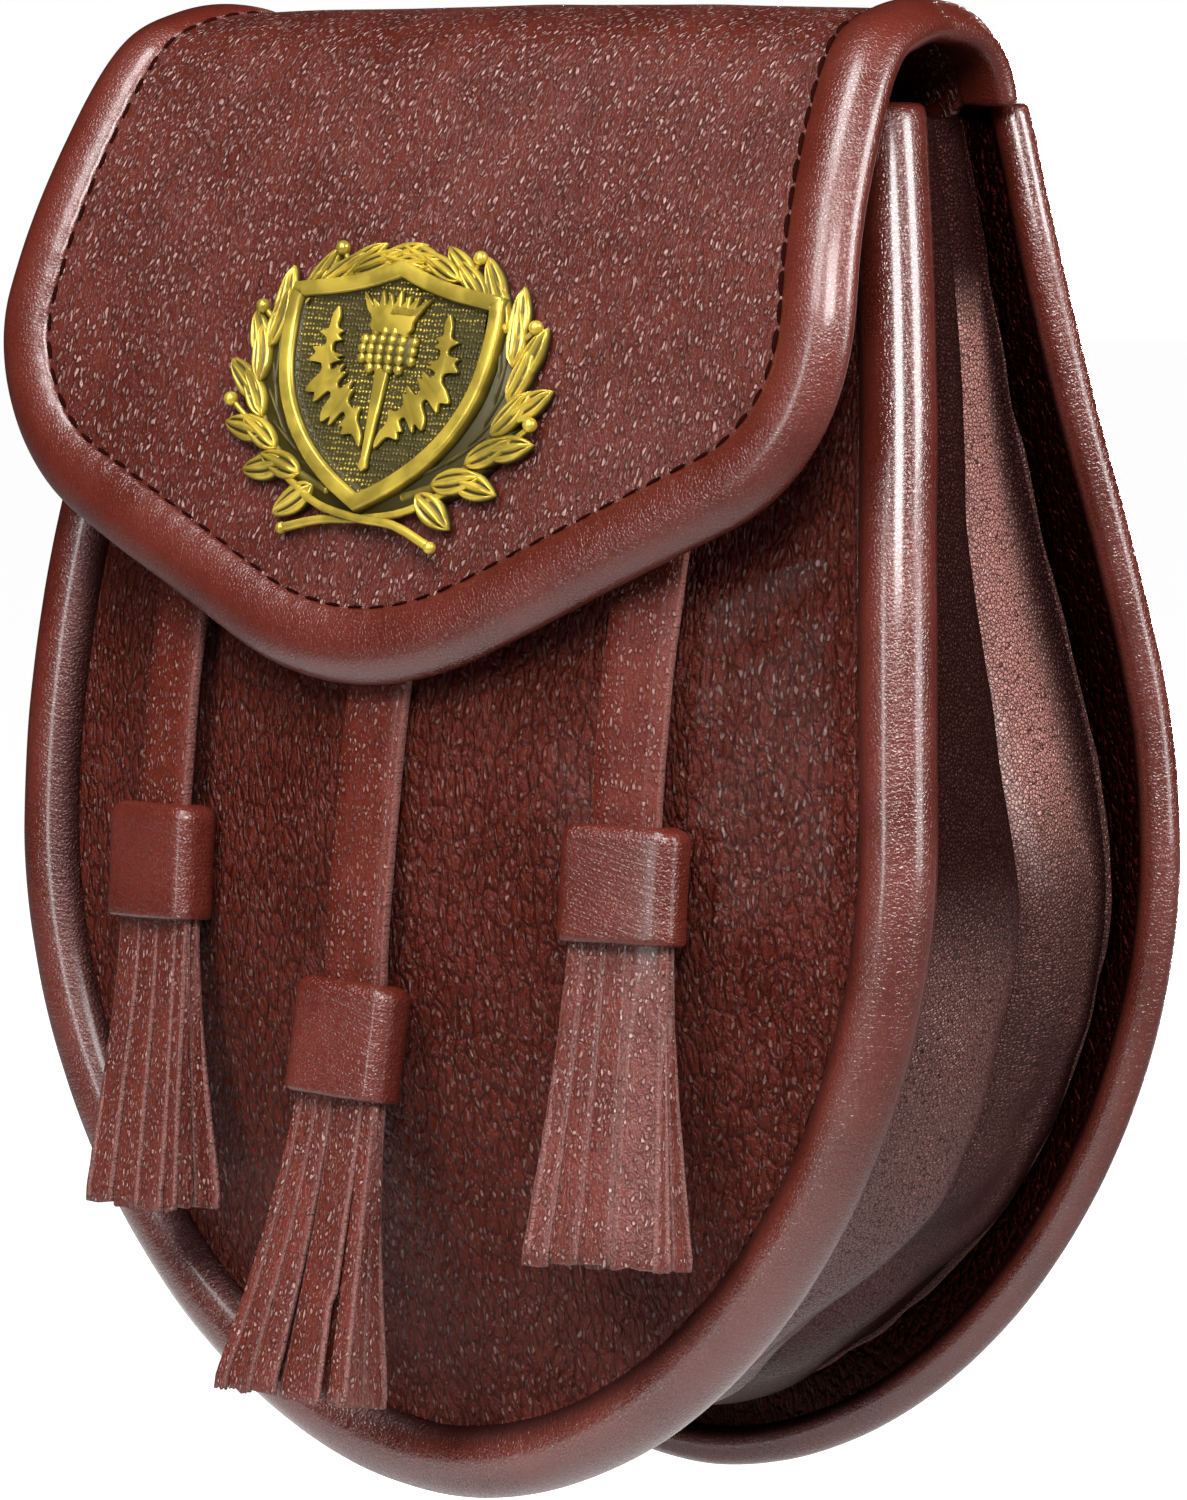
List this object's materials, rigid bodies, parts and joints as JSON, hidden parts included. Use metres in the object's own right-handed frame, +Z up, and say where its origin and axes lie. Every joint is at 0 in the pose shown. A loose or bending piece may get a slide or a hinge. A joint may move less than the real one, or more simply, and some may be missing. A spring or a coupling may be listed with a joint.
{
  "type": "sporran",
  "caption": "Leather day sporran: pouch with a bound flap, bellows gusset, three strap tassels and a cast thistle badge",
  "frame": {"origin": "middle of the belt loop, where the pouch hangs", "axes": "+Z up, -Y out of the front with the badge, +X to the viewer's right when facing the front"},
  "size_m": [0.1488, 0.0854, 0.1886],
  "materials": {
    "pebble_leather": "pebble grain, oxblood, semi gloss",
    "smooth_leather": "smooth polished edge leather, oxblood",
    "badge_brass": "cast, antiqued in the hollows, satin on the high parts"
  },
  "bodies": {
    "root": {"back_panel": "pebble_leather", "back_binding": "smooth_leather", "gusset": "smooth_leather", "front_panel": "pebble_leather", "front_binding": "smooth_leather", "flap": "pebble_leather", "flap_binding": "smooth_leather", "strap_left": "pebble_leather", "strap_centre": "pebble_leather", "strap_right": "pebble_leather", "cap_left": "smooth_leather", "cap_centre": "smooth_leather", "cap_right": "smooth_leather", "skirt_left": "pebble_leather", "skirt_centre": "pebble_leather", "skirt_right": "pebble_leather", "badge": "badge_brass", "belt_loop": "smooth_leather"}
  },
  "joints": []
}
